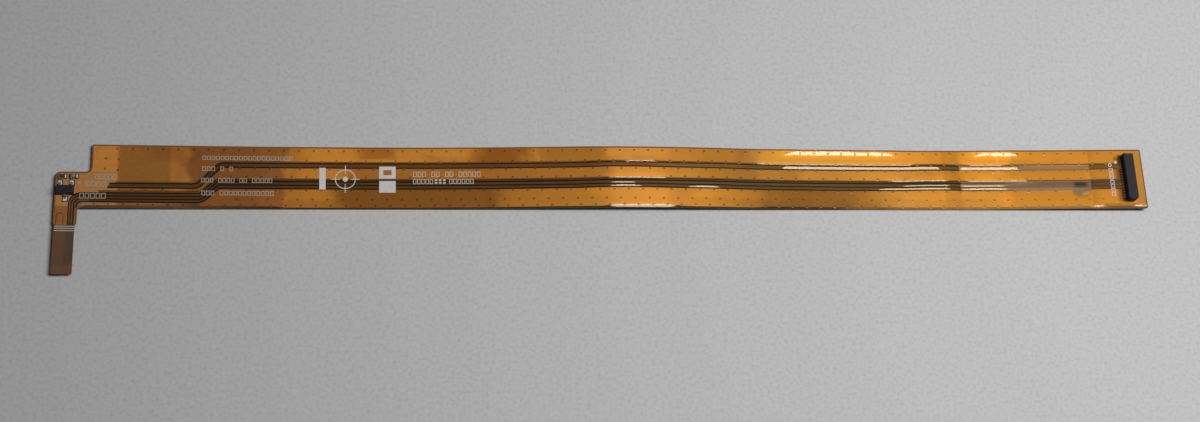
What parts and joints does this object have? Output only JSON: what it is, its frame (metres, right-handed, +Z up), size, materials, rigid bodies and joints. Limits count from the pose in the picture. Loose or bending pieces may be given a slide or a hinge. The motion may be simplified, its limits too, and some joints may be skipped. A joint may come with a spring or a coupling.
{
  "type": "flat flex cable",
  "caption": "L-shaped printed flex cable with a board connector at one end, and a stiffened plug-in tail beside a small soldered sensor at the other.",
  "frame": {"origin": "on the table, under the middle of the cable's overall length and width", "axes": "+X along the band towards the board connector, +Y from the tail's end towards the band, +Z up from the table"},
  "size_m": [0.1904, 0.0226, 0.003],
  "materials": {
    "film": "amber film over copper",
    "stiffener": "dark brown film",
    "gold": "gold plated",
    "backing": "dark film",
    "adhesive": "dull adhesive film",
    "housing": "moulded black",
    "tin": "tin plated",
    "moulding": "moulded black",
    "solder": "bright solder",
    "capacitor": "fired ceramic",
    "resistor": "glazed black"
  },
  "bodies": {
    "root": {"flex_film": "film", "tail_stiffener": "stiffener", "contact_fingers": "gold", "tab_backing": "backing", "adhesive_strip": "adhesive", "connector_stiffener": "stiffener", "connector_housing": "housing", "connector_leads": "tin", "sensor_body": "moulding", "sensor_leads": "tin", "sensor_solder": "solder", "capacitor_body": "capacitor", "capacitor_ends": "tin", "resistor_body": "resistor", "resistor_ends": "tin", "chip_solder": "solder"}
  },
  "joints": []
}
